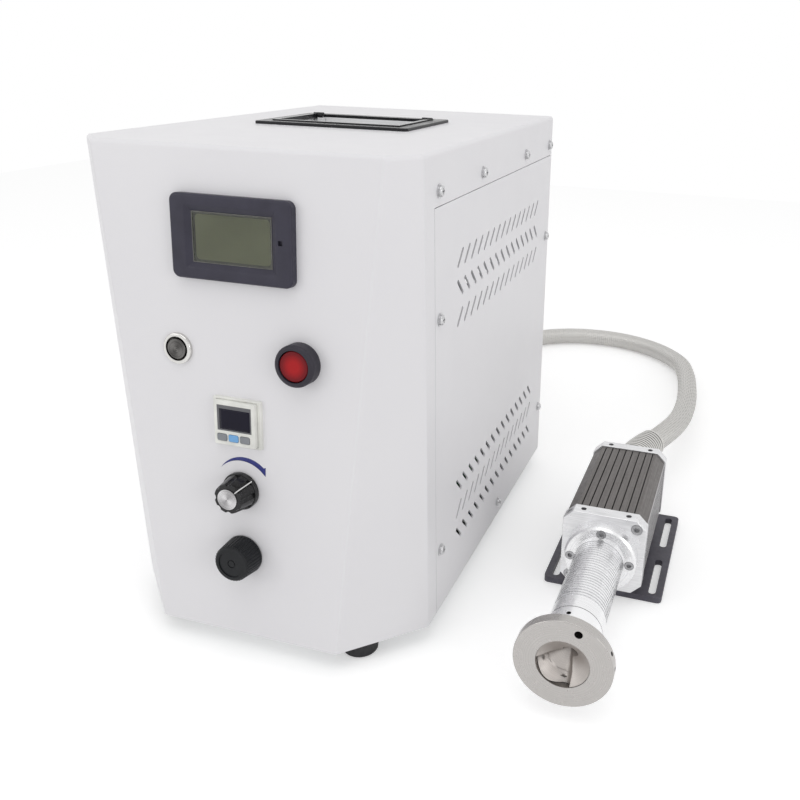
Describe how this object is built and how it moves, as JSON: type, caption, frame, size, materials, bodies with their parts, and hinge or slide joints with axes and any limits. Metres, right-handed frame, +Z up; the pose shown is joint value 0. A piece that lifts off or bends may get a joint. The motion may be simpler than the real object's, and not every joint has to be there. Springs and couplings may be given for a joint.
{
  "type": "plasma treatment machine",
  "caption": "White bench cabinet with meter, buttons and knobs on a leaning front, and a rotary plasma torch on a slotted plate at the end of a metal hose.",
  "frame": {"origin": "on the surface it stands on, under the middle of the footprint of cabinet and torch", "axes": "+X right seen from the front, +Y to the back, +Z up"},
  "size_m": [0.5404, 0.7712, 0.3482],
  "materials": {
    "white_coat": "satin powder coat with a fine grain",
    "zinc_sheet": "zinc plated sheet",
    "screw_chrome": "bright plated",
    "foot_rubber": "matt black rubber",
    "handle_black": "glossy black paint",
    "meter_plastic": "satin moulded dark blue-grey",
    "clear_window": "clear polished window",
    "lcd_panel": "olive grey display glass, unlit",
    "stainless": "turned stainless steel",
    "collar_plastic": "satin charcoal plastic",
    "red_lens": "deep red translucent lens",
    "switch_shell": "warm white moulded plastic",
    "screen_black": "near-black screen",
    "key_grey": "grey rubber key",
    "key_blue": "blue rubber key",
    "knob_gloss": "glossy black phenolic",
    "spun_cap": "spun aluminium with fine circles",
    "knob_ribbed": "satin black ribbed plastic",
    "cast_alloy": "cast and bead blasted",
    "core_steel": "varnished laminations",
    "circuit_board": "green solder mask",
    "brass_fitting": "nickel-free turned brass",
    "fan_plastic": "black glass-filled plastic",
    "air_tube": "blue polyurethane tube",
    "gland_dark": "dark grey anodised",
    "plate_dark": "blue-black powder coat",
    "milled_alloy": "bright milled and turned",
    "anodised_dark": "dark grey anodised extrusion",
    "ceramic_tube": "unglazed alumina ceramic",
    "nozzle_steel": "satin turned nickel steel",
    "hose_steel": "corrugated stainless hose"
  },
  "bodies": {
    "cabinet_and_torch": {"air_inlet": "brass_fitting", "air_lines": "air_tube", "air_regulator": "cast_alloy", "base_plate": "zinc_sheet", "board_standoffs": "brass_fitting", "case_screws": "screw_chrome", "casing_shell": "white_coat", "control_board": "circuit_board", "fan_frame": "fan_plastic", "fan_guard": "screw_chrome", "feet": "foot_rubber", "handle_frame": "handle_black", "handle_pins": "screw_chrome", "hose_coil": "hose_steel", "hose_outlet": "gland_dark", "hose_tube": "hose_steel", "inner_shelf": "zinc_sheet", "ion_potentiometer": "zinc_sheet", "mains_inlet": "fan_plastic", "meter_bezel": "meter_plastic", "meter_display": "lcd_panel", "meter_window": "clear_window", "panel_nuts": "stainless", "power_board": "circuit_board", "power_collar": "collar_plastic", "rear_panel": "white_coat", "side_panel_left": "white_coat", "side_panel_right": "white_coat", "solenoid_valve": "cast_alloy", "start_bezel": "stainless", "switch_body": "switch_shell", "switch_frame": "switch_shell", "switch_window": "screen_black", "torch_bearings": "stainless", "torch_body": "anodised_dark", "torch_electrode": "stainless", "torch_front_plate": "milled_alloy", "torch_gland": "gland_dark", "torch_insulator": "ceramic_tube", "torch_mount_plate": "plate_dark", "torch_neck": "milled_alloy", "torch_rear_plate": "milled_alloy", "torch_screws": "screw_chrome", "torch_stator": "core_steel", "transformer": "core_steel"},
    "handle_bail": {"handle_bail": "handle_black"},
    "start_button": {"start_cap": "stainless"},
    "power_button": {"power_lens": "red_lens"},
    "key_left": {"switch_key_left": "key_grey"},
    "key_middle": {"switch_key_middle": "key_blue"},
    "key_right": {"switch_key_right": "key_grey"},
    "ion_control": {"ion_knob": "knob_gloss", "ion_knob_cap": "spun_cap", "ion_shaft": "stainless"},
    "air_lock": {"air_lock_ring": "knob_ribbed"},
    "air_control": {"air_knob": "knob_ribbed"},
    "fan": {"fan_rotor": "fan_plastic"},
    "nozzle": {"nozzle_disc": "nozzle_steel", "nozzle_insert": "nozzle_steel", "torch_shaft": "stainless"}
  },
  "joints": [
    {"name": "handle_fold", "type": "hinge", "parent": "cabinet_and_torch", "child": "handle_bail", "pos_m": [-0.07795, 0.04647, 0.3455], "axis": [-1, 0, 0], "range_deg": [0, 90]},
    {"name": "start_press", "type": "slide", "parent": "cabinet_and_torch", "child": "start_button", "axis": [0, 0.9955, -0.095], "range_m": [0, 0.002], "stiffness_N_per_m": 400, "springref_m": -0.0005},
    {"name": "power_press", "type": "slide", "parent": "cabinet_and_torch", "child": "power_button", "axis": [0, 0.9955, -0.095], "range_m": [0, 0.003], "stiffness_N_per_m": 500, "springref_m": -0.0005},
    {"name": "key_left_press", "type": "slide", "parent": "cabinet_and_torch", "child": "key_left", "axis": [0, 0.9955, -0.095], "range_m": [0, 0.0008], "stiffness_N_per_m": 300, "springref_m": -0.0005},
    {"name": "key_middle_press", "type": "slide", "parent": "cabinet_and_torch", "child": "key_middle", "axis": [0, 0.9955, -0.095], "range_m": [0, 0.0008], "stiffness_N_per_m": 300, "springref_m": -0.0005},
    {"name": "key_right_press", "type": "slide", "parent": "cabinet_and_torch", "child": "key_right", "axis": [0, 0.9955, -0.095], "range_m": [0, 0.0008], "stiffness_N_per_m": 300, "springref_m": -0.0005},
    {"name": "ion_turn", "type": "hinge", "parent": "cabinet_and_torch", "child": "ion_control", "pos_m": [-0.07595, -0.18411, 0.12448], "axis": [0, -0.9955, 0.095], "range_deg": [-95, 205]},
    {"name": "air_pull", "type": "slide", "parent": "cabinet_and_torch", "child": "air_lock", "axis": [0, -0.9955, 0.095], "range_m": [0, 0.003]},
    {"name": "air_turn", "type": "hinge", "parent": "air_lock", "child": "air_control", "pos_m": [-0.07595, -0.1936, 0.07766], "axis": [0, -0.9955, 0.095], "range_deg": [-1080, 1080]},
    {"name": "fan_spin", "type": "hinge", "parent": "cabinet_and_torch", "child": "fan", "pos_m": [-0.12095, 0.15717, 0.239], "axis": [0, 1, 0], "continuous": true},
    {"name": "nozzle_spin", "type": "hinge", "parent": "cabinet_and_torch", "child": "nozzle", "pos_m": [0.14905, -0.11183, 0.0453], "axis": [0, -1, 0], "continuous": true}
  ]
}
